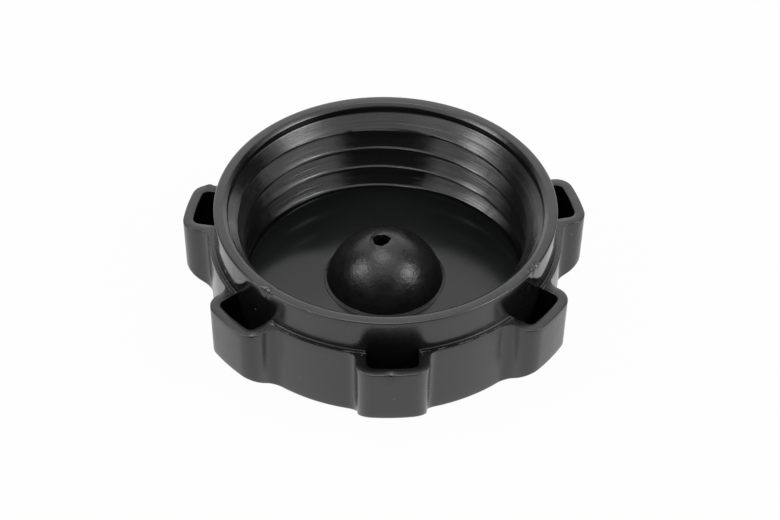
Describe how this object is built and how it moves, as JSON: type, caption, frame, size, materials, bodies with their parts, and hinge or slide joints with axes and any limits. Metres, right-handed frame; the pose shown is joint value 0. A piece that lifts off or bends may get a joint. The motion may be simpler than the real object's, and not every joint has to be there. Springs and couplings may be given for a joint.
{
  "type": "fuel filler cap",
  "caption": "Screw-on fuel filler cap, mouth up: round shell with a hollow lobed grip, plain collar, coarse internal thread, flat sealing gasket and a domed vent baffle with a hole.",
  "frame": {"origin": "centre of the crown's flat outer face, which the cap stands on", "axes": "+Z along the thread axis, out of the mouth; one grip lobe points along -Y"},
  "size_m": [0.0664, 0.0651, 0.0198],
  "materials": {
    "shell_plastic": "black moulded plastic, satin to glossy, fine tool rings inside the mouth",
    "gasket_rubber": "smooth dark rubber with a dull shine",
    "baffle_plastic": "dark mottled plastic, duller than the shell"
  },
  "bodies": {
    "root": {"cap_shell": "shell_plastic", "sealing_gasket": "gasket_rubber", "vent_baffle": "baffle_plastic"}
  },
  "joints": []
}
